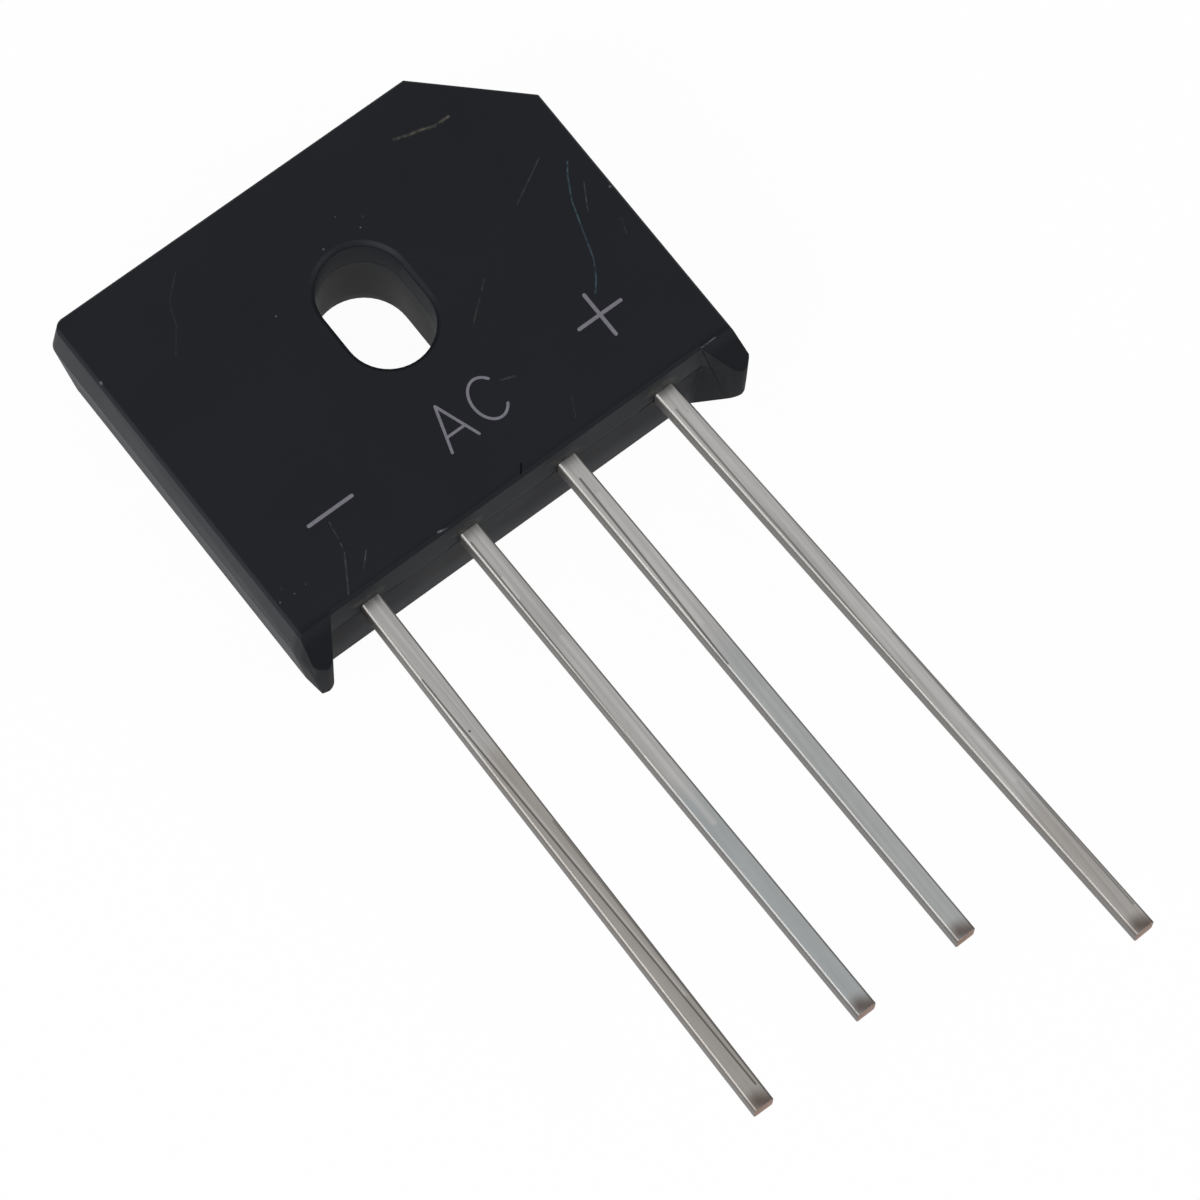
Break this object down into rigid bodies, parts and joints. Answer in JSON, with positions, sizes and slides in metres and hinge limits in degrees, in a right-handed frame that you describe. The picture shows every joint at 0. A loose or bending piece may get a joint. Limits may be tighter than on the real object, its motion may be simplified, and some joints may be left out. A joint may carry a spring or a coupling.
{
  "type": "bridge rectifier",
  "caption": "Flat moulded single-in-line bridge rectifier with a bevelled corner, a screw slot, two lower feet and long square leads in a row.",
  "frame": {"origin": "centre of the screw slot, on the back (mounting) face", "axes": "+X from the negative lead towards the positive lead and the bevelled corner, +Y away from the leads towards the top edge, +Z from the back face towards the marked face"},
  "size_m": [0.0228, 0.0474, 0.0068],
  "materials": {
    "moulding": "fine satin black moulding compound",
    "tinned_lead": "dull tin plating over copper, sheared copper ends",
    "silicon": "glass-passivated silicon wafer",
    "solder": "dull solder"
  },
  "bodies": {
    "root": {"moulded_body": "moulding", "negative_terminal": "tinned_lead", "ac_terminal_1": "tinned_lead", "ac_terminal_2": "tinned_lead", "positive_terminal": "tinned_lead", "die_1": "silicon", "die_2": "silicon", "die_3": "silicon", "die_4": "silicon", "solder_1_upper": "solder", "solder_1_lower": "solder", "solder_2_upper": "solder", "solder_2_lower": "solder", "solder_3_upper": "solder", "solder_3_lower": "solder", "solder_4_upper": "solder", "solder_4_lower": "solder"}
  },
  "joints": []
}
